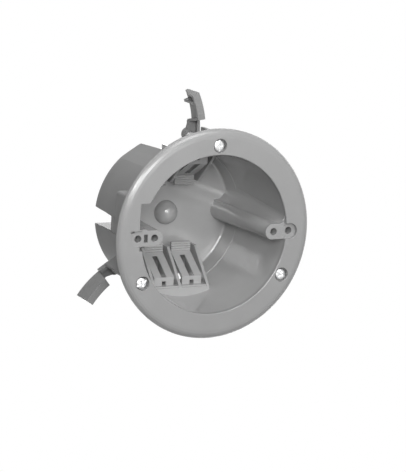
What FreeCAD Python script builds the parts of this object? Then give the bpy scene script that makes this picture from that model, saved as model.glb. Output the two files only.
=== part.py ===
import FreeCAD, Part
import os
from math import cos, degrees, radians, sin, sqrt
from FreeCAD import Vector

# Round old-work ceiling box, millimetres. The origin is the centre of the flange's seating
# face, the mouth opens down along -Z and the body rises into the ceiling void along +Z.
# Angles are counted from +X, where the right fixture boss stands, counterclockwise from above.

# Flange
FLANGE_R = 56.0
FLANGE_T = 3.0
RIM_T = 0.9
BEVEL_W = 4.4
BEVEL_BULGE = 0.5
MOUTH_EDGE_R = 0.55

# Moulded body: a drafted cup
BODY_DEPTH = 60.0
BODY_R_SEAT = 44.4
BODY_R_BACK = 41.5
WALL = 2.2
BACK_WALL = 2.2
INNER_CORNER_R = 1.1
OUTER_CORNER_R = 0.8
STEP_DEPTH = 47.0
STEP = 0.3
BACK_TAPER = 0.5
ROUND_STEPS = 4
TOUCH = 0.01

# Fixture bosses, one on +X and one on -X
INNER_SPACING = 69.85
OUTER_SPACING = 88.9
FIXTURE_HOLE_R = 1.9
INNER_HOLE_DEPTH = 19.0
OUTER_BOSS_H = 5.4
OUTER_HOLE_FLOOR = 1.0
BOSS_TIP_FRONT = 30.15
BOSS_TIP_BACK = 27.8
BOSS_HALF_FRONT = 4.2
BOSS_HALF_BACK = 5.8
BOSS_TUCK = 0.03
BLEND_R_FRONT = 3.5
BLEND_R_BACK = 7.0
BLEND_BITE = 0.05
BLEND_OVERRUN = 0.1
PLATE_RECESS = 0.8
POCKET_X = 41.8
POCKET_DEPTH = 2.0
NOTCHES = (
    ((40.8, 41.9), (-8.0, -2.8), 2.0),
    ((-48.9, -46.8), (-4.25, -3.05), 2.0),
    ((-43.6, -41.0), (4.2, 6.5), 5.0),
)
RELIEF_HALF = 4.5
RELIEF_DEPTH = 0.8
CORE_HALF_FRONT = 3.9
CORE_HALF_BACK = 4.7
CORE_TIP_WALL = 2.6
CORE_FLOOR_Z = 37.0
SLOT_X = 39.9
SLOT_W = 2.0
SLOT_H = 4.2
SLOT_DEPTH = 8.0

# Gate dome in the middle of the back wall
DOME_R = 6.7
DOME_WALL = 2.0

# Wire window beside the left boss, with its own pocket outside the body
WINDOW_X = 43.9
WINDOW_Y_LOW = 18.4
WINDOW_Y_HIGH = 4.9
WINDOW_Z = 22.0
POCKET_WALL = 2.0
POCKET_EDGE_R = 1.5

# Cable clamps, two tongues each, one clamp on +Y and one on -Y
RIB_X = (-17.5, -2.1, 14.6)
RIB_T = 1.6
SHELF_Z = 30.0
SHELF_T = 2.0
SHELF_Y = 36.0
RIB_END_Y = 17.2
RIB_END_Z = 48.0
RIB_OUT_Y = 37.5
FLAT_Y = 35.2
FLAT_T = 1.6
ENTRY_Z = 45.0
TONGUE_X = (-10.45, 6.25)
TONGUE_W = 11.7
TONGUE_T = 1.8
FOOT_Z = 34.0
FOOT_Y = 35.2
RAMP_Y = 30.8
BAR_Y = 20.4
BAR_Z = 49.2
BAR_END_Y = 15.2
TOOTH_COUNT = 4
TOOTH_H = 0.5
TONGUE_SLOT_W = 3.0
FOOT_SLOT_W = 2.4
SLOT_MARGIN = 1.6
FAR_SET_BACK = 1.4

# Long flats on the outside of the body
FLAT_SPAN = 20.0
FLAT_ANGLES = (-122.3, 57.7)

# Clamp screws, number 8-32, and what carries them
SCREW_ANGLES = (-90.0, 150.0, 30.0)
SCREW_GAP = 2.8
SCREW_CIRCLE_R = max(BODY_R_SEAT, BODY_R_BACK) + SCREW_GAP
SCREW_R = 2.08
SCREW_LENGTH = 38.1
SCREW_POINT = 1.0
HEAD_R = 3.2
HEAD_H = 2.0
HEAD_DOME = 0.5
DRIVE_DEPTH = 1.1
DRIVE_SLOT_W = 0.9
DRIVE_CROSS_W = 1.1
DRIVE_CROSS_L = 3.6
BORE_CLEARANCE = 0.07
COUNTERBORE_R = 3.8
COUNTERBORE_DEPTH = 2.6
SCREW_BOSS_R = 4.4
SCREW_BOSS_H = 3.0
STOP_GAP = 4.9
STOP_T = 1.8
STOP_REACH = 4.5
STOP_HEIGHT = 30.0

# Swing wings on the screws: a threaded hub, a thin plate and a channel-shaped arm
HUB_R = 3.5
HUB_H = 4.0
WING_Z = 21.0
WING_DEPTH = 13.4
PLATE_T = 2.2
PLATE_INSIDE = 1.3
PLATE_OUTSIDE = 4.5
PLATE_EDGE_H = 4.2
PLATE_EDGE_W = 1.75
FLARE_ALONG = 2.5
FLARE_INSIDE = 2.4
ARM_INSIDE = 0.9
ARM_OUTSIDE = 3.2
WING_START_FRONT = 11.7
WING_START_BACK = 8.4
WING_END = 28.9
WING_WALL = 1.6
TIP_WALL = 1.5
RIB_ANGLE = 22.9
SWUNG_OUT = (93.0, 93.0, 60.0)

PLATE_R_IN = SCREW_CIRCLE_R - PLATE_INSIDE
PLATE_R_OUT = SCREW_CIRCLE_R + PLATE_OUTSIDE
WING_R_IN = SCREW_CIRCLE_R - ARM_INSIDE
WING_R_OUT = SCREW_CIRCLE_R + ARM_OUTSIDE
AXIS = Vector(0, 0, 1)
BACK_Z = BODY_DEPTH - BACK_WALL


def outer_radius(z):
    """Outer radius of the drafted body at height z."""
    return BODY_R_SEAT + (BODY_R_BACK - BODY_R_SEAT) * z / BODY_DEPTH


def prism(points, direction, place=Vector(0, 0, 0)):
    """Straight prism over a closed polygon of vectors."""
    corners = [place + Vector(*p) for p in points]
    wire = Part.makePolygon(corners + corners[:1])
    return Part.Face(wire).extrude(direction)


def box(x0, x1, y0, y1, z0, z1):
    """Box between two corners."""
    return Part.makeBox(x1 - x0, y1 - y0, z1 - z0, Vector(x0, y0, z0))


def turned(points):
    """Solid of revolution about Z from (radius, z) points that start and end on the axis."""
    corners = [Vector(r, 0, z) for r, z in points]
    wire = Part.makePolygon(corners + corners[:1])
    return Part.Face(wire).revolve(Vector(0, 0, 0), AXIS, 360)


def sector(r0, r1, angle0, angle1, z0, z1):
    """Ring sector between two radii, two angles and two heights."""
    outer = Part.makeCylinder(r1, z1 - z0, Vector(0, 0, z0), AXIS, angle1 - angle0)
    inner = Part.makeCylinder(r0, z1 - z0, Vector(0, 0, z0), AXIS, angle1 - angle0)
    piece = outer.cut(inner)
    piece.rotate(Vector(0, 0, 0), AXIS, angle0)
    return piece


def rotated(shape, angle):
    """Copy of a shape turned about the box axis."""
    copy = shape.copy()
    copy.rotate(Vector(0, 0, 0), AXIS, angle)
    return copy


def mirrored(shape):
    """Copy of a shape on the other side of the box, from +Y to -Y."""
    return shape.mirror(Vector(0, 0, 0), Vector(0, 1, 0))


def arc_points(r, z, radius, angle0, angle1):
    """Points of a rounding about a centre in the (radius, z) plane, between two angles."""
    points = []
    for index in range(ROUND_STEPS + 1):
        angle = radians(angle0 + (angle1 - angle0) * index / ROUND_STEPS)
        points.append((r + radius * cos(angle), z + radius * sin(angle)))
    return points


def bevel_points():
    """Points of the bulging bevel from the flange face out to the rim."""
    points = []
    for index in range(ROUND_STEPS + 1):
        part = index / ROUND_STEPS
        bulge = 4 * part * (1 - part) * BEVEL_BULGE
        r = FLANGE_R - BEVEL_W * (1 - part) + bulge
        z = (RIM_T - FLANGE_T) * (1 - part) - RIM_T - bulge
        points.append((r, z))
    return points


def envelope():
    """Solid outside of the body and flange with the two long flats, before anything is hollowed."""
    corner = arc_points(BODY_R_BACK - OUTER_CORNER_R, BODY_DEPTH - OUTER_CORNER_R, OUTER_CORNER_R, 0, 90)
    solid = turned([(0, -FLANGE_T)] + bevel_points() + [(FLANGE_R, 0), (BODY_R_SEAT, 0)] + corner
                   + [(0, BODY_DEPTH)])
    return solid.cut([rotated(long_flat(), angle) for angle in FLAT_ANGLES])


def long_flat():
    """What a long flat leaves out of the round outside of the body, at angle 0."""
    chord = cos(radians(0.5 * FLAT_SPAN))
    half = BODY_R_SEAT * sin(radians(FLAT_SPAN))
    outline = [
        (BODY_R_SEAT * chord, -half, 0),
        (FLANGE_R, -half, 0),
        (FLANGE_R, -half, BODY_DEPTH),
        (BODY_R_BACK * chord, -half, BODY_DEPTH),
    ]
    return prism(outline, Vector(0, 2 * half, 0))


def cavity():
    """Space inside the cup, with the rounded mouth, the small step and the rounded back corner."""
    mouth_r = outer_radius(-FLANGE_T) - WALL
    step_r = outer_radius(STEP_DEPTH) - WALL
    back_r = outer_radius(BACK_Z) - WALL - STEP - BACK_TAPER
    mouth = arc_points(mouth_r + MOUTH_EDGE_R, MOUTH_EDGE_R - FLANGE_T, MOUTH_EDGE_R, 270, 180)
    corner = arc_points(back_r - INNER_CORNER_R, BACK_Z - INNER_CORNER_R, INNER_CORNER_R, 0, 90)
    steps = [(step_r, STEP_DEPTH), (step_r - STEP, STEP_DEPTH)]
    return turned([(0, -FLANGE_T)] + mouth + steps + corner + [(0, BACK_Z)])


def fixture_boss():
    """Drafted boss along the side wall on +X, before its holes: a tapering nose with flat sides."""
    front = Vector(BOSS_TIP_FRONT + BOSS_HALF_FRONT, 0, PLATE_RECESS - FLANGE_T)
    back = Vector(BOSS_TIP_BACK + BOSS_HALF_BACK, 0, BACK_Z + 0.5 * BACK_WALL)
    run = back - front
    nose = Part.makeCone(BOSS_HALF_FRONT, BOSS_HALF_BACK, run.Length, front, run)
    half_front = BOSS_HALF_FRONT - BOSS_TUCK
    half_back = BOSS_HALF_BACK - BOSS_TUCK
    sides = [
        (0, -half_front, front.z),
        (0, half_front, front.z),
        (0, half_back, back.z),
        (0, -half_back, back.z),
    ]
    x0 = 0.5 * (front.x + back.x)
    return nose.fuse(prism(sides, Vector(BODY_R_SEAT - x0, 0, 0), Vector(x0, 0, 0)))


def boss_blend():
    """Hollow rounding, widening to the back, between the -Y side of the boss on +X and the wall."""
    centres = []
    sections = []
    inside_y = -0.5 * BOSS_HALF_FRONT
    for z, half, radius in ((PLATE_RECESS - FLANGE_T, BOSS_HALF_FRONT, BLEND_R_FRONT),
                            (BACK_Z, BOSS_HALF_BACK, BLEND_R_BACK)):
        y = BLEND_BITE + BOSS_TUCK - half - radius
        reach = outer_radius(z) - WALL - radius + BLEND_BITE
        x = sqrt(reach * reach - y * y)
        foot_y = y * (1 + radius / reach)
        far_x = BODY_R_SEAT + radius
        flat = [(x, inside_y), (far_x, inside_y), (far_x, foot_y), (x, foot_y), (x, inside_y)]
        sections.append(Part.makePolygon([Vector(u, v, z) for u, v in flat]))
        centres.append(Vector(x, y, z))
    front, back = centres
    run = back - front
    over = BLEND_OVERRUN * (BLEND_R_BACK - BLEND_R_FRONT)
    hollow = Part.makeCone(BLEND_R_FRONT - over, BLEND_R_BACK + over, (1 + 2 * BLEND_OVERRUN) * run.Length,
                           front - run * BLEND_OVERRUN, run)
    return Part.makeLoft(sections, True, True).cut(hollow)


def outer_boss():
    """Short boss behind the flange that carries the outer fixture hole on +X."""
    x = 0.5 * OUTER_SPACING
    low = -0.5 * FLANGE_T
    height = OUTER_BOSS_H - low
    block = box(BODY_R_BACK - WALL, x, -BOSS_HALF_FRONT, BOSS_HALF_FRONT, low, OUTER_BOSS_H)
    return block.fuse(Part.makeCylinder(BOSS_HALF_FRONT, height, Vector(x, 0, low)))


def fixture_cuts():
    """Plate recess, two fixture holes, the outside relief and the rear coring of the boss on +X."""
    recess_x = 0.5 * OUTER_SPACING
    front = -FLANGE_T
    half = BOSS_HALF_FRONT
    recess = box(BOSS_TIP_BACK, recess_x, -half, half, front, front + PLATE_RECESS)
    recess = recess.fuse(Part.makeCylinder(half, PLATE_RECESS, Vector(recess_x, 0, front)))
    relief = [
        (BODY_R_SEAT - RELIEF_DEPTH, -RELIEF_HALF, OUTER_BOSS_H),
        (FLANGE_R, -RELIEF_HALF, OUTER_BOSS_H),
        (FLANGE_R, -RELIEF_HALF, BODY_DEPTH),
        (BODY_R_BACK - RELIEF_DEPTH, -RELIEF_HALF, BODY_DEPTH),
    ]
    cuts = [recess, prism(relief, Vector(0, 2 * RELIEF_HALF, 0))]
    outer_depth = OUTER_BOSS_H - OUTER_HOLE_FLOOR - front
    for spacing, depth in ((INNER_SPACING, INNER_HOLE_DEPTH), (OUTER_SPACING, outer_depth)):
        start = Vector(0.5 * spacing, 0, front)
        cuts.append(Part.makeCylinder(FIXTURE_HOLE_R, depth, start))
    core = [
        (0, -CORE_HALF_FRONT, CORE_FLOOR_Z),
        (0, CORE_HALF_FRONT, CORE_FLOOR_Z),
        (0, CORE_HALF_BACK, BODY_DEPTH),
        (0, -CORE_HALF_BACK, BODY_DEPTH),
    ]
    x0 = BOSS_TIP_BACK + CORE_TIP_WALL
    cuts.append(prism(core, Vector(FLANGE_R - x0, 0, 0), Vector(x0, 0, 0)))
    return cuts


def clamp_opening():
    """What the round side wall leaves out behind the shelf of the clamp on +Y."""
    x0 = RIB_X[0] + RIB_T
    x1 = RIB_X[-1] - 0.5 * RIB_T
    return box(x0, x1, FLAT_Y, FLANGE_R, SHELF_Z + SHELF_T, BODY_DEPTH)


def clamp_ribs(set_back):
    """Shelf, flat side wall and three sloping ribs of the clamp on +Y.

    The flat wall ends short of the back wall, so that each bay is open to the side for a cable.
    The ribs end nearer to the wall by the set-back."""
    x0 = RIB_X[0] - 0.5 * RIB_T
    x1 = RIB_X[-1] + 0.5 * RIB_T
    pieces = [
        box(x0, x1, SHELF_Y, FLANGE_R, SHELF_Z, SHELF_Z + SHELF_T),
        box(x0, x1, FLAT_Y, FLAT_Y + FLAT_T, SHELF_Z + 0.5 * SHELF_T, ENTRY_Z),
    ]
    outline = [
        (0, SHELF_Y, SHELF_Z),
        (0, RIB_END_Y + set_back, RIB_END_Z),
        (0, RIB_END_Y + set_back, BODY_DEPTH),
        (0, RIB_OUT_Y, BODY_DEPTH),
        (0, RIB_OUT_Y, SHELF_Z),
    ]
    for middle in RIB_X:
        place = Vector(middle - 0.5 * RIB_T, 0, 0)
        pieces.append(prism(outline, Vector(RIB_T, 0, 0), place))
    return pieces


def tongue(middle, set_back):
    """Spring tongue between two ribs of the clamp on +Y: foot, ramp and toothed bar, which ends
    nearer to the wall by the set-back."""
    x0 = middle - 0.5 * TONGUE_W
    bar_y = BAR_Y + set_back
    end_y = BAR_END_Y + set_back
    outline = [
        (0, SHELF_Y + TONGUE_T, SHELF_Z + 0.5 * SHELF_T),
        (0, SHELF_Y, SHELF_Z + 0.5 * SHELF_T),
        (0, FOOT_Y, FOOT_Z),
        (0, RAMP_Y, FOOT_Z),
        (0, bar_y, BAR_Z),
        (0, end_y, BAR_Z),
        (0, end_y, BAR_Z + TONGUE_T),
        (0, bar_y + 0.5 * TONGUE_T, BAR_Z + TONGUE_T),
        (0, RAMP_Y + 0.5 * TONGUE_T, FOOT_Z + TONGUE_T),
        (0, SHELF_Y + TONGUE_T, FOOT_Z + TONGUE_T),
    ]
    piece = prism(outline, Vector(TONGUE_W, 0, 0), Vector(x0, 0, 0))
    pitch = (bar_y - end_y) / TOOTH_COUNT
    for index in range(TOOTH_COUNT):
        y = end_y + index * pitch
        tooth = [(0, y, BAR_Z), (0, y + 0.5 * pitch, BAR_Z - TOOTH_H), (0, y + pitch, BAR_Z)]
        piece = piece.fuse(prism(tooth, Vector(TONGUE_W, 0, 0), Vector(x0, 0, 0)))
    half = 0.5 * TONGUE_SLOT_W
    ramp_slot = box(middle - half, middle + half, bar_y + SLOT_MARGIN, RAMP_Y, FOOT_Z, BODY_DEPTH)
    half = 0.5 * FOOT_SLOT_W
    low_y = 0.5 * (RAMP_Y + FOOT_Y)
    foot_slot = box(middle - half, middle + half, low_y, SHELF_Y, SHELF_Z, FOOT_Z + TONGUE_T)
    return piece.cut(ramp_slot).cut(foot_slot)


def window_pocket():
    """Outside of the pocket behind the wire window."""
    x0 = -WINDOW_X - POCKET_WALL
    y0 = -WINDOW_Y_LOW - POCKET_WALL
    y1 = -WINDOW_Y_HIGH + POCKET_WALL
    block = box(x0, -BODY_R_BACK + WALL, y0, y1, -0.5 * FLANGE_T, WINDOW_Z + POCKET_WALL)
    top = WINDOW_Z + POCKET_WALL

    def is_outer(edge):
        low = edge.BoundBox
        on_face = abs(low.XMin - x0) < TOUCH and abs(low.XMax - x0) < TOUCH
        on_side = abs(low.YMin - y0) < TOUCH and abs(low.YMax - y0) < TOUCH
        on_top = abs(low.ZMin - top) < TOUCH
        return (on_face and (on_side or on_top)) or (on_side and on_top)

    return block.makeFillet(POCKET_EDGE_R, [edge for edge in block.Edges if is_outer(edge)])


def screw_mount_adds():
    """Boss and swing stop behind the flange at one clamp screw, at angle 0."""
    low = -0.5 * FLANGE_T
    boss = Part.makeCylinder(SCREW_BOSS_R, SCREW_BOSS_H - low, Vector(SCREW_CIRCLE_R, 0, low))
    stop_r = SCREW_CIRCLE_R + STOP_REACH
    return [boss, box(BODY_R_BACK, stop_r, STOP_GAP, STOP_GAP + STOP_T, low, STOP_HEIGHT)]


def screw_mount_cuts():
    """Counterbore and screw bore at one clamp screw, at angle 0."""
    place = Vector(SCREW_CIRCLE_R, 0, -FLANGE_T)
    counterbore = Part.makeCylinder(COUNTERBORE_R, COUNTERBORE_DEPTH, place)
    bore = Part.makeCylinder(SCREW_R + BORE_CLEARANCE, FLANGE_T + SCREW_BOSS_H, place)
    return [counterbore, bore]


def single_cuts():
    """What the box has only once: hollow of the dome, wire window, narrow slot, rim notches and
    the deeper pocket round the outer hole on +X."""
    front = -FLANGE_T
    hollow_r = DOME_R - DOME_WALL
    cuts = [
        Part.makeSphere(hollow_r, Vector(0, 0, BACK_Z)),
        Part.makeCylinder(hollow_r, BACK_WALL, Vector(0, 0, BACK_Z)),
        box(-WINDOW_X, -BOSS_TIP_FRONT, -WINDOW_Y_LOW, -WINDOW_Y_HIGH, front, WINDOW_Z),
    ]
    half_w = 0.5 * SLOT_W
    half_h = 0.5 * SLOT_H
    cuts.append(box(-SLOT_X - half_w, -SLOT_X + half_w, -half_h, half_h, front, front + SLOT_DEPTH))
    for (x0, x1), (y0, y1), depth in NOTCHES:
        cuts.append(box(x0, x1, y0, y1, front, front + depth))
    half = BOSS_HALF_FRONT
    hole_x = 0.5 * OUTER_SPACING
    pocket = Part.makeCylinder(half, POCKET_DEPTH, Vector(hole_x, 0, front))
    pocket = pocket.cut(box(0, POCKET_X, -half, half, front, front + POCKET_DEPTH))
    cuts += [pocket, box(POCKET_X, hole_x, -half, half, front, front + POCKET_DEPTH)]
    return cuts


def box_body():
    """The moulding: flange, cup, fixture bosses, cable clamps, window and screw mounts."""
    outside = envelope()
    space = cavity()
    adds = [rotated(outer_boss(), angle).cut(space) for angle in (0, 180)]
    adds.append(window_pocket().cut(space))
    for angle in SCREW_ANGLES:
        adds += [rotated(piece, angle).cut(space) for piece in screw_mount_adds()]
    body = outside.cut(space).fuse(adds)

    inner = [Part.makeSphere(DOME_R, Vector(0, 0, BACK_Z))]
    inner += [rotated(fixture_boss(), angle) for angle in (0, 180)]
    inner += [boss_blend(), boss_blend().mirror(Vector(0, 0, 0), Vector(1, 0, 0))]
    body = body.fuse([piece.common(outside) for piece in inner])
    body = body.cut([clamp_opening(), mirrored(clamp_opening())])

    near = clamp_ribs(0) + [tongue(middle, 0) for middle in TONGUE_X]
    far = clamp_ribs(FAR_SET_BACK) + [tongue(middle, FAR_SET_BACK) for middle in TONGUE_X]
    clamps = near + [mirrored(piece) for piece in far]
    body = body.fuse([piece.common(outside) for piece in clamps])

    cuts = single_cuts()
    for angle in (0, 180):
        cuts += [rotated(piece, angle) for piece in fixture_cuts()]
    for angle in SCREW_ANGLES:
        cuts += [rotated(piece, angle) for piece in screw_mount_cuts()]
    return body.cut(cuts).removeSplitter()


def clamp_screw():
    """Flat-pointed machine screw with a combination drive, hung in its counterbore at angle 0."""
    seat = COUNTERBORE_DEPTH - FLANGE_T
    shank_end = seat + SCREW_LENGTH
    low = seat - HEAD_H
    screw = turned([
        (0, low),
        (0.6 * HEAD_R, low),
        (HEAD_R, low + HEAD_DOME),
        (HEAD_R, seat),
        (SCREW_R, seat),
        (SCREW_R, shank_end - SCREW_POINT),
        (SCREW_R - 0.5 * SCREW_POINT, shank_end),
        (0, shank_end),
    ])
    drive = box(-HEAD_R, HEAD_R, -0.5 * DRIVE_SLOT_W, 0.5 * DRIVE_SLOT_W, low, low + 0.7 * DRIVE_DEPTH)
    for turn in (0, 90):
        half = 0.5 * DRIVE_CROSS_L
        arm = box(-half, half, -0.5 * DRIVE_CROSS_W, 0.5 * DRIVE_CROSS_W, low, low + DRIVE_DEPTH)
        drive = drive.fuse(rotated(arm, turn))
    screw = screw.cut(drive)
    screw.translate(Vector(SCREW_CIRCLE_R, 0, 0))
    return screw


def base_wedge(inset):
    """What the slanted base end of a wing's arm leaves out, moved along the arm by an inset."""
    lead = SCREW_CIRCLE_R * radians(WING_START_FRONT - WING_START_BACK)
    top = WING_Z + WING_DEPTH
    outline = [
        (0, 0, WING_Z),
        (0, lead, top),
        (0, 2 * lead, top),
        (0, 2 * lead, WING_Z),
    ]
    wedge = prism(outline, Vector(FLANGE_R, 0, 0))
    return rotated(wedge, -WING_START_FRONT - degrees(inset / WING_R_OUT))


def wing_arm():
    """Curved arm folded along the body at angle 0: an outer wall with a flange at the front,
    closed at both ends and stiffened by one rib, open to the back and towards the body."""
    top = WING_Z + WING_DEPTH
    inside_z = WING_Z + WING_WALL
    inside_r = WING_R_OUT - WING_WALL
    wall_turn = degrees(WING_WALL / WING_R_OUT)
    tip_turn = degrees(TIP_WALL / WING_R_OUT)
    arm = sector(WING_R_IN, WING_R_OUT, -WING_END, -WING_START_BACK, WING_Z, top)
    arm = arm.cut(base_wedge(0))
    near = sector(HUB_R, inside_r, -RIB_ANGLE + 0.5 * wall_turn, -WING_START_BACK, inside_z, top)
    far = sector(HUB_R, inside_r, -WING_END + tip_turn, -RIB_ANGLE - 0.5 * wall_turn, inside_z, top)
    arm = arm.cut([near.cut(base_wedge(WING_WALL)), far])
    outline = [
        (WING_R_IN, 0, inside_z),
        (inside_r, 0, top),
        (HUB_R, 0, top),
        (HUB_R, 0, inside_z),
    ]
    bevel = prism(outline, Vector(0, TIP_WALL, 0))
    return arm.cut(rotated(bevel, -WING_END))


def clamp_wing(swung_out):
    """Swing wing on its screw, modelled folded against the body at angle 0, then swung out."""
    top = WING_Z + WING_DEPTH
    plate_z = top - PLATE_T
    hub_centre = Vector(SCREW_CIRCLE_R, 0, plate_z)
    plate_end = -WING_START_BACK - 0.5 * degrees(WING_WALL / WING_R_OUT)
    plate_reach = SCREW_CIRCLE_R * radians(-plate_end)
    flare = [
        (0, 0, 0),
        (-FLARE_INSIDE, -FLARE_ALONG, 0),
        (-PLATE_INSIDE, -plate_reach, 0),
    ]
    wing = Part.makeCylinder(HUB_R, HUB_H, hub_centre)
    wing = wing.fuse([
        sector(PLATE_R_IN, PLATE_R_OUT, plate_end, 0, plate_z, top),
        sector(PLATE_R_OUT - PLATE_EDGE_W, PLATE_R_OUT, plate_end, 0, top - PLATE_EDGE_H, top),
        prism(flare, Vector(0, 0, PLATE_T), hub_centre),
        wing_arm(),
    ])
    wing = wing.cut(Part.makeCylinder(SCREW_R + BORE_CLEARANCE, HUB_H, hub_centre)).removeSplitter()
    wing.rotate(hub_centre, AXIS, swung_out)
    return wing


def export(shape, name):
    """Write one sub-part."""
    shape.exportStep("parts/" + name + ".step")


def main():
    os.makedirs("parts", exist_ok=True)
    export(box_body(), "box_body")
    for number, (angle, swung_out) in enumerate(zip(SCREW_ANGLES, SWUNG_OUT), start=1):
        export(rotated(clamp_screw(), angle), "clamp_screw_%d" % number)
        export(rotated(clamp_wing(swung_out), angle), "clamp_wing_%d" % number)


main()
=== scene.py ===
import bpy
import bmesh
from math import cos, pi, radians, sin
from mathutils import Matrix, Vector


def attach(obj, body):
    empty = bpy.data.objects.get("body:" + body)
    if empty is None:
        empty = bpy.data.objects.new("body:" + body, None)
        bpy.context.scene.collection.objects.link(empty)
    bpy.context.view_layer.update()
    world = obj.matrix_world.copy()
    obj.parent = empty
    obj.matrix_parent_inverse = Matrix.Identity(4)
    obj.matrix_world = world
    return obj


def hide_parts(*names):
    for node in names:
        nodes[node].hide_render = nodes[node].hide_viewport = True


# Round ceiling box, in metres. The origin is the centre of the flange's back face, +Z is up, and
# the mouth opens down along -Z. The camera looks up into it, so the floor lies below the camera.

# Camera of the photograph: its place, its directions, and its lens and sensor in millimetres
CAMERA_PLACE = (-0.475801, -0.218580, -0.906319)
CAMERA_RIGHT = (0.891654, -0.052227, -0.449696)
CAMERA_DOWN = (-0.049128, 0.976295, -0.210797)
CAMERA_FORWARD = (0.450045, 0.210051, 0.867951)
CAMERA_LENS = 152.54
CAMERA_SENSOR = 36.0
CAMERA_NEAR = 0.05
CAMERA_FAR = 100.0

# Pale floor, and how bright floor and background look and how much light the background gives
FLOOR_Z = -1.3
FLOOR_SIZE = 60.0
FLOOR_GREY = (0.50, 0.50, 0.50, 1)
FLOOR_ROUGH = 0.9
FLOOR_GLOW = 0.60
BACKGROUND_GLOW = 1.0
WORLD_LIGHT = 0.05
WHITE = (1, 1, 1, 1)

# Lamps: name, direction from the box, distance, diameter and power. They point at one place in it.
LAMP_AIM = (0, 0, 0.025)
LAMPS = (
    ("key", (-0.16, -0.42, -0.89), 1.15, 0.50, 2.40),
    ("axial", (-0.10, -0.20, -0.97), 1.25, 0.35, 2.70),
    ("crescent", (-0.46, -0.36, -0.81), 0.80, 0.24, 2.30),
    ("crescent_top", (0.20, -0.66, -0.72), 0.60, 0.16, 0.60),
    ("near_top", (0.00, -0.85, -0.52), 0.40, 0.20, 0.34),
    ("sheen", (0.20, -0.12, -0.97), 0.50, 0.12, 0.12),
    ("back_left", (-0.62, 0.60, 0.50), 1.50, 1.00, 1.50),
    ("back_far", (0.05, -0.90, 0.42), 1.50, 1.00, 3.00),
    ("back_right", (0.62, -0.30, 0.72), 1.50, 1.00, 8.50),
    ("back_near", (0.36, 0.53, 0.77), 1.50, 1.00, 9.00),
)

# Where the finish of the moulding changes, and where the inside is painted lighter as painted
# light: from the front face, which ends at z = 0, to what is behind it, and from the cup's inner
# side to its outer one, at radii that shrink with the draft
FRONT_Z = -0.0016
DRAFT = 0.048
WALL_INNER = 0.0428
WALL_OUTER = 0.0438

# Moulded plastic: scales of its noise per metre, how much lighter the inside is painted, as painted
# light, how uneven the gloss is, and the spans of noise and of edge sharpness over which edges are
# painted lighter, as wear and as painted highlight
MOTTLE_SCALE = 55.0
# noise scale of the lighter patches on sharp edges, painted as wear and as highlight
SCUFF_AND_HIGHLIGHT_SCALE = 900.0
GLOSS_SCALE = 120.0
GRAIN_SCALE = 2600.0
FLOW_SCALE = 38.0
# painted light: the inside of the cup is painted this much lighter
INSIDE_PAINTED_LIGHT = 1.24
GLOSS_SPREAD = 0.03
PATCHES = (0.30, 0.70)
# spans of the lighter edge patches and of edge sharpness, painted partly as wear and partly as
# painted highlight
SCUFF_AND_HIGHLIGHT_SPAN = (0.35, 0.75)
EDGE_WEAR_AND_HIGHLIGHT = (0.54, 0.64)
EDGE_RADIUS = 0.00035
EDGE_SAMPLES = 4
GRAIN_STRENGTH = 0.10
FLOW_STRENGTH = 0.25
FLOW_DEPTH = 0.0003

# Zinc plate: scales of its noise per metre, tints of its dark and light patches, scratches
PLATE_SCALE = 700.0
PLATE_GLOSS_SCALE = 1500.0
SCRATCH_SCALE = 1800.0
PLATE_PATCHES = (0.35, 0.65)
DARK_TINT = (1.00, 1.01, 1.03)
LIGHT_TINT = (1.00, 1.00, 0.99)
SCRATCH_STRENGTH = 0.3
SCRATCH_DEPTH = 0.00004

# Shading: smooth up to a crease of this many degrees, with soft shadow edges on round walls
CREASE = 30.0
SHADOW_LIFT = 1.0
SHADOW_SHIFT = 0.08

# Clamp screws, 8-32: the circle and the angles of their axes, their shank and their length
SCREW_CIRCLE_R = 0.0472
SCREW_ANGLES = {1: -90.0, 2: 150.0, 3: 30.0}
SCREW_R = 0.00208
SCREW_SEAT_Z = -0.0004
SCREW_LENGTH = 0.0381
SCREW_TIP = 0.0004

# Round head from its crown to its widest ring, as shares of its radius and height, then its seat
HEAD_R = 0.0032
HEAD_H = 0.0020
HEAD_PROFILE = ((0.15, 0.00), (0.45, 0.02), (0.72, 0.10), (0.90, 0.24), (0.98, 0.42), (1.00, 0.60))
HEAD_RIM = 0.08
HEAD_SEAT = 0.96
HEAD_SIDES = 48

# Combination drive: a slot across the head and a cross in its middle
SLOT_L = 2.4 * HEAD_R
SLOT_W = 0.0009
SLOT_DEPTH = 0.0008
CROSS_L = 0.0036
CROSS_W = 0.0011
CROSS_DEPTH = 0.0012

# Thread: its flanks' share of the pitch, sides to a turn, and the turns over which it runs out
THREAD_PITCH = 0.000794
THREAD_DEPTH = 0.00046
THREAD_ROOT_R = SCREW_R - THREAD_DEPTH
THREAD_FOOT = 0.5
THREAD_CREST = 0.09
THREAD_SIDES = 28
THREAD_RUN = 0.75

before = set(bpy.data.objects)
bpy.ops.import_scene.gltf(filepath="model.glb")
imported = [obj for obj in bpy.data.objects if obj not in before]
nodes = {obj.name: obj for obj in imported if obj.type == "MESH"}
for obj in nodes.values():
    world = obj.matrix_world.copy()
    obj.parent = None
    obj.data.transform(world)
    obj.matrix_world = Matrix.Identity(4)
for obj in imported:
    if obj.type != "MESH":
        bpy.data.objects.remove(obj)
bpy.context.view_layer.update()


def feed(tree, socket, value):
    """Links an input to an output, or gives it a plain value."""
    if isinstance(value, bpy.types.NodeSocket):
        tree.links.new(value, socket)
    else:
        socket.default_value = value


def add(tree, kind, **values):
    """New shader node with its inputs fed by name."""
    node = tree.nodes.new(kind)
    for name, value in values.items():
        feed(tree, node.inputs[name.replace("_", " ")], value)
    return node


def sum_of(tree, operation, *values):
    """Result of one sum on numbers and outputs."""
    node = tree.nodes.new("ShaderNodeMath")
    node.operation = operation
    for socket, value in zip(node.inputs, values):
        feed(tree, socket, value)
    return node.outputs["Value"]


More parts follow.
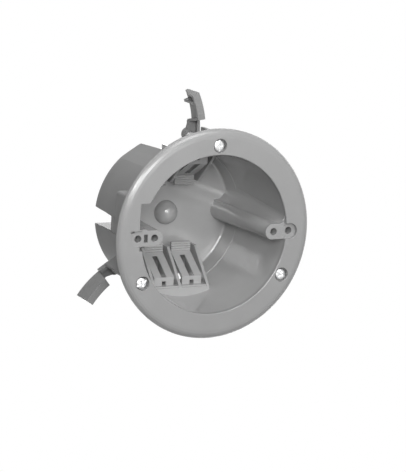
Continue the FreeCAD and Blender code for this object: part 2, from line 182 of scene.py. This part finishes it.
def noise(tree, place, scale, detail):
    """Noise over object coordinates at one scale."""
    node = add(tree, "ShaderNodeTexNoise", Vector=place, Scale=scale, Detail=detail, Roughness=0.55)
    return node.outputs["Fac"]


def between(tree, value, span, low=0.0, high=1.0):
    """Value mapped from a span to the range from low to high, clamped."""
    node = add(tree, "ShaderNodeMapRange", Value=value, From_Min=span[0], From_Max=span[1],
               To_Min=low, To_Max=high)
    return node.outputs["Result"]


def mixed(tree, share, first, second, kind="FLOAT"):
    """Goes from the first number or colour to the second, each a value or an output."""
    node = tree.nodes.new("ShaderNodeMix")
    node.data_type = kind
    for name, value in (("Factor", share), ("A", first), ("B", second)):
        feed(tree, node.inputs[name], value)
    return node.outputs["Result"]


def two_tone(tree, share, places, first, second):
    """Colour that goes from the first to the second between two places of a share."""
    node = add(tree, "ShaderNodeValToRGB", Fac=share)
    for stop, place, colour in zip(node.color_ramp.elements, places, (first, second)):
        stop.position = place
        stop.color = (*colour, 1)
    return node.outputs["Color"]


def new_material(name):
    """Material with an empty node tree, its object coordinates and its output node."""
    material = bpy.data.materials.new(name)
    material.use_nodes = True
    tree = material.node_tree
    tree.nodes.clear()
    place = tree.nodes.new("ShaderNodeTexCoord").outputs["Object"]
    return material, tree, place, tree.nodes.new("ShaderNodeOutputMaterial")


def moulding_parts(tree, place):
    """Two masks of a moulding: behind its front face, and outside the cup."""
    height = add(tree, "ShaderNodeSeparateXYZ", Vector=place).outputs["Z"]
    level = tree.nodes.new("ShaderNodeVectorMath")
    level.operation = "MULTIPLY"
    feed(tree, level.inputs[0], place)
    feed(tree, level.inputs[1], (1, 1, 0))
    radius = tree.nodes.new("ShaderNodeVectorMath")
    radius.operation = "LENGTH"
    feed(tree, radius.inputs[0], level.outputs["Vector"])
    reach = sum_of(tree, "MULTIPLY_ADD", height, DRAFT, radius.outputs["Value"])
    behind = between(tree, height, (FRONT_Z, 0.0))
    outside = between(tree, reach, (WALL_INNER, WALL_OUTER))
    return behind, outside


def plastic_colour(tree, place, parts, tones):
    """Soft mottling, painted lighter inside the cup as painted light, with sharp edges painted
    lighter in scuffed patches, as wear and as painted highlight.
    """
    behind, outside = parts
    dark, light, edge = ((tone, tone, tone) for tone in tones)
    base = two_tone(tree, noise(tree, place, MOTTLE_SCALE, 4.0), PATCHES, dark, light)
    # painted light: the inside of the cup is painted lighter than the front and the outside
    painted_inside_light = mixed(tree, behind, 1.0, mixed(tree, outside, INSIDE_PAINTED_LIGHT, 1.0))
    base = add(tree, "ShaderNodeHueSaturation", Value=painted_inside_light, Color=base).outputs["Color"]
    sharp = tree.nodes.new("ShaderNodeNewGeometry").outputs["Pointiness"]
    # sharp edges in scuffed patches are painted lighter, partly as wear and partly as painted
    # highlight
    edge_wear_and_highlight = between(tree, sharp, EDGE_WEAR_AND_HIGHLIGHT)
    scuff_and_highlight = between(tree, noise(tree, place, SCUFF_AND_HIGHLIGHT_SCALE, 2.0), SCUFF_AND_HIGHLIGHT_SPAN)
    return mixed(tree, sum_of(tree, "MULTIPLY", edge_wear_and_highlight, scuff_and_highlight), base, (*edge, 1), "RGBA")


def plastic_roughness(tree, place, parts, gloss):
    """Roughness of the front, the inside and the outside, slightly uneven."""
    behind, outside = parts
    front, inside, out = gloss
    even = mixed(tree, behind, front, mixed(tree, outside, inside, out))
    patches = noise(tree, place, GLOSS_SCALE, 3.0)
    return sum_of(tree, "ADD", even, between(tree, patches, PATCHES, -GLOSS_SPREAD, GLOSS_SPREAD))


def plastic_relief(tree, place, grain_depth):
    """Softened edges with fine grain and faint flow lines."""
    soft = add(tree, "ShaderNodeBevel", Radius=EDGE_RADIUS)
    soft.samples = EDGE_SAMPLES
    grain = add(tree, "ShaderNodeBump", Strength=GRAIN_STRENGTH, Distance=grain_depth,
                Height=noise(tree, place, GRAIN_SCALE, 2.0), Normal=soft.outputs["Normal"])
    flow = add(tree, "ShaderNodeBump", Strength=FLOW_STRENGTH, Distance=FLOW_DEPTH,
               Height=noise(tree, place, FLOW_SCALE, 2.0), Normal=grain.outputs["Normal"])
    return flow.outputs["Normal"]


def moulded_plastic(name, tones, gloss, level, grain_depth):
    """Moulded plastic, painted lighter inside the cup as painted light. tones are its dark, light
    and edge ones, the edge one painted on as wear and as highlight, and gloss holds its roughness
    at the front, inside and outside."""
    material, tree, place, output = new_material(name)
    parts = moulding_parts(tree, place)
    shader = add(tree, "ShaderNodeBsdfPrincipled", Specular_IOR_Level=level,
                 Base_Color=plastic_colour(tree, place, parts, tones),
                 Roughness=plastic_roughness(tree, place, parts, gloss),
                 Normal=plastic_relief(tree, place, grain_depth))
    feed(tree, output.inputs["Surface"], shader.outputs["BSDF"])
    return material


def zinc_plate(name, dark, light, roughness):
    """Zinc plate: mottled tone, fine scratches and soft gloss."""
    material, tree, place, output = new_material(name)
    colour = two_tone(tree, noise(tree, place, PLATE_SCALE, 4.0), PLATE_PATCHES,
                      [dark * tint for tint in DARK_TINT], [light * tint for tint in LIGHT_TINT])
    rough = between(tree, noise(tree, place, PLATE_GLOSS_SCALE, 3.0), PATCHES, *roughness)
    scratches = add(tree, "ShaderNodeBump", Strength=SCRATCH_STRENGTH, Distance=SCRATCH_DEPTH,
                    Height=noise(tree, place, SCRATCH_SCALE, 3.0))
    shader = add(tree, "ShaderNodeBsdfPrincipled", Metallic=1.0, Base_Color=colour,
                 Roughness=rough, Normal=scratches.outputs["Normal"])
    feed(tree, output.inputs["Surface"], shader.outputs["BSDF"])
    return material


def dress(thing, material):
    """Gives an object one material and smooth shading between its creases."""
    mesh = thing.data
    if mesh.materials:
        mesh.materials[0] = material
    else:
        mesh.materials.append(material)
    mesh.polygons.foreach_set("use_smooth", [True] * len(mesh.polygons))
    mesh.set_sharp_from_angle(angle=radians(CREASE))
    thing.cycles.shadow_terminator_geometry_offset = SHADOW_LIFT
    thing.cycles.shadow_terminator_offset = SHADOW_SHIFT


def new_object(name, data):
    """New object in the scene."""
    thing = bpy.data.objects.new(name, data)
    bpy.context.scene.collection.objects.link(thing)
    return thing


def shape_object(name, shape):
    """Object with a built shape as its mesh."""
    mesh = bpy.data.meshes.new(name)
    shape.to_mesh(mesh)
    shape.free()
    return new_object(name, mesh)


def turned(rings, sides):
    """Closed shape of revolution about Z from (radius, z) rings, with a cap at each end."""
    shape = bmesh.new()
    loops = []
    for r, z in rings:
        turns = (2 * pi * k / sides for k in range(sides))
        loops.append([shape.verts.new((r * cos(turn), r * sin(turn), z)) for turn in turns])
    for low, high in zip(loops, loops[1:]):
        for k in range(sides):
            after = (k + 1) % sides
            shape.faces.new((low[k], low[after], high[after], high[k]))
    shape.faces.new(loops[0][::-1])
    shape.faces.new(loops[-1])
    return shape


def screw_blank():
    """Head and plain core of a screw, along Z."""
    crown = SCREW_SEAT_Z - HEAD_H
    end = SCREW_SEAT_Z + SCREW_LENGTH
    rings = [(r * HEAD_R, crown + z * HEAD_H) for r, z in HEAD_PROFILE]
    rings += [(HEAD_R, SCREW_SEAT_Z - HEAD_RIM * HEAD_H), (HEAD_SEAT * HEAD_R, SCREW_SEAT_Z)]
    rings += [(THREAD_ROOT_R, SCREW_SEAT_Z), (THREAD_ROOT_R, end - SCREW_TIP)]
    rings += [(THREAD_ROOT_R - SCREW_TIP, end)]
    return turned(rings, HEAD_SIDES)


def screw_drive():
    """Slot and cross that are cut out of a screw head."""
    crown = Matrix.Translation((0, 0, SCREW_SEAT_Z - HEAD_H))
    shape = bmesh.new()
    for length, width, depth, turn in ((SLOT_L, SLOT_W, SLOT_DEPTH, 0.0),
                                       (CROSS_L, CROSS_W, CROSS_DEPTH, 0.0),
                                       (CROSS_L, CROSS_W, CROSS_DEPTH, 90.0)):
        size = Matrix.Diagonal((length, width, 2 * depth, 1.0))
        place = crown @ Matrix.Rotation(radians(turn), 4, "Z") @ size
        bmesh.ops.create_cube(shape, size=1.0, matrix=place)
    return shape


def cut_out(body, cutter):
    """Mesh of the body without the cutter. Both objects go."""
    cut = body.modifiers.new("cut", "BOOLEAN")
    cut.operation = "DIFFERENCE"
    cut.solver = "EXACT"
    cut.use_self = True
    cut.object = cutter
    graph = bpy.context.evaluated_depsgraph_get()
    mesh = bpy.data.meshes.new_from_object(body.evaluated_get(graph))
    for thing in (body, cutter):
        bpy.data.objects.remove(thing)
    return mesh


def add_thread(shape):
    """Helical thread along the core, running out at both ends."""
    start = SCREW_SEAT_Z + THREAD_FOOT * THREAD_PITCH
    end = SCREW_SEAT_Z + SCREW_LENGTH - THREAD_PITCH
    count = int((end - start) / THREAD_PITCH * THREAD_SIDES)
    run = THREAD_RUN * THREAD_SIDES
    rows = []
    for k in range(count + 1):
        turn = 2 * pi * k / THREAD_SIDES
        middle = start + THREAD_PITCH * k / THREAD_SIDES
        crest = THREAD_ROOT_R + THREAD_DEPTH * min(1.0, k / run, (count - k) / run)
        profile = ((THREAD_ROOT_R, -THREAD_FOOT), (crest, -THREAD_CREST),
                   (crest, THREAD_CREST), (THREAD_ROOT_R, THREAD_FOOT))
        row = []
        for r, part in profile:
            corner = (r * cos(turn), r * sin(turn), middle + part * THREAD_PITCH)
            row.append(shape.verts.new(corner))
        rows.append(row)
    for before, after in zip(rows, rows[1:]):
        for k in range(3):
            shape.faces.new((before[k], after[k], after[k + 1], before[k + 1]))


def make_screw(number):
    """Threaded round-head screw with a combination drive, in place of the plain screw, its thread
    darkened as painted shade.
    """
    blank = shape_object("blank_%d" % number, screw_blank())
    drive = shape_object("drive_%d" % number, screw_drive())
    mesh = cut_out(blank, drive)
    shape = bmesh.new()
    shape.from_mesh(mesh)
    core_faces = len(shape.faces)
    add_thread(shape)
    angle = radians(SCREW_ANGLES[number])
    place = Matrix.Rotation(angle, 4, "Z") @ Matrix.Translation((SCREW_CIRCLE_R, 0, 0))
    bmesh.ops.transform(shape, matrix=place, verts=shape.verts)
    # thread faces take the darker zinc, which is painted shade
    for index, face in enumerate(shape.faces):
        face.material_index = int(index >= core_faces)
    shape.to_mesh(mesh)
    shape.free()
    mesh.name = "threaded_screw_%d" % number
    piece = new_object("threaded_screw_%d" % number, mesh)
    dress(piece, zinc)
    mesh.materials.append(shaded_thread_zinc)
    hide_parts("clamp_screw_%d" % number)
    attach(piece, "screw_%d" % number)


def make_camera():
    """Camera at the photograph's place, looking up into the mouth."""
    data = bpy.data.cameras.new("camera")
    data.lens = CAMERA_LENS
    data.sensor_width = CAMERA_SENSOR
    data.clip_start = CAMERA_NEAR
    data.clip_end = CAMERA_FAR
    camera = new_object("camera", data)
    rows = Matrix((CAMERA_RIGHT, -Vector(CAMERA_DOWN), -Vector(CAMERA_FORWARD)))
    turn = rows.transposed().to_quaternion().normalized()
    camera.matrix_world = Matrix.Translation(CAMERA_PLACE) @ turn.to_matrix().to_4x4()
    bpy.context.scene.camera = camera


def make_lamps():
    """Soft round lamps on all sides of the box, below it too."""
    aim = Vector(LAMP_AIM)
    for name, direction, distance, diameter, power in LAMPS:
        data = bpy.data.lights.new(name, "AREA")
        data.shape = "DISK"
        data.size = diameter
        data.energy = power
        lamp = new_object(name, data)
        away = Vector(direction).normalized()
        turn = away.to_track_quat("Z", "Y").to_matrix().to_4x4()
        lamp.matrix_world = Matrix.Translation(aim + away * distance) @ turn
        lamp.visible_camera = False


def seen_strength(tree, unseen, seen):
    """Strength that is one number for camera, gloss and glass, and another for the light."""
    path = tree.nodes.new("ShaderNodeLightPath")
    share = path.outputs["Is Camera Ray"]
    for name in ("Is Glossy Ray", "Is Transmission Ray"):
        share = sum_of(tree, "MAXIMUM", share, path.outputs[name])
    return between(tree, share, (0.0, 1.0), unseen, seen)


def make_world():
    """White background for camera, gloss and glass, and a little light from all sides."""
    world = bpy.data.worlds.new("studio")
    bpy.context.scene.world = world
    world.use_nodes = True
    tree = world.node_tree
    tree.nodes.clear()
    background = add(tree, "ShaderNodeBackground", Color=WHITE,
                     Strength=seen_strength(tree, WORLD_LIGHT, BACKGROUND_GLOW))
    add(tree, "ShaderNodeOutputWorld", Surface=background.outputs["Background"])


def make_floor():
    """Plain pale floor far below the mouth."""
    half = 0.5 * FLOOR_SIZE
    corners = [(x * half, y * half, FLOOR_Z) for x, y in ((-1, -1), (1, -1), (1, 1), (-1, 1))]
    mesh = bpy.data.meshes.new("floor")
    mesh.from_pydata(corners, [], [(0, 1, 2, 3)])
    floor = new_object("floor", mesh)
    material, tree, _, output = new_material("floor")
    shader = add(tree, "ShaderNodeBsdfPrincipled", Base_Color=FLOOR_GREY, Roughness=FLOOR_ROUGH,
                 Emission_Color=WHITE, Emission_Strength=seen_strength(tree, 0.0, FLOOR_GLOW))
    feed(tree, output.inputs["Surface"], shader.outputs["BSDF"])
    mesh.materials.append(material)


# the third tone of each plastic is its lighter edge, painted as wear and as highlight; the grey one
# is painted lighter inside the cup as painted light
grey = moulded_plastic("grey_plastic", tones=(0.312, 0.334, 0.42), gloss=(0.24, 0.12, 0.70),
                       level=0.80, grain_depth=0.00003)
dark = moulded_plastic("dark_plastic", tones=(0.220, 0.255, 0.285), gloss=(0.36, 0.36, 0.36),
                       level=0.40, grain_depth=0.00001)
zinc = zinc_plate("zinc", dark=0.72, light=0.94, roughness=(0.30, 0.48))
# painted shade: the thread is a darker copy of the zinc, for a shank that lies in shadow
shaded_thread_zinc = zinc_plate("zinc_thread_painted_shade", dark=0.20, light=0.34, roughness=(0.35, 0.55))

dress(nodes["box_body"], grey)
for number in SCREW_ANGLES:
    dress(nodes["clamp_wing_%d" % number], dark)
    make_screw(number)

make_camera()
make_lamps()
make_world()
make_floor()

bpy.context.scene.view_settings.view_transform = "Standard"
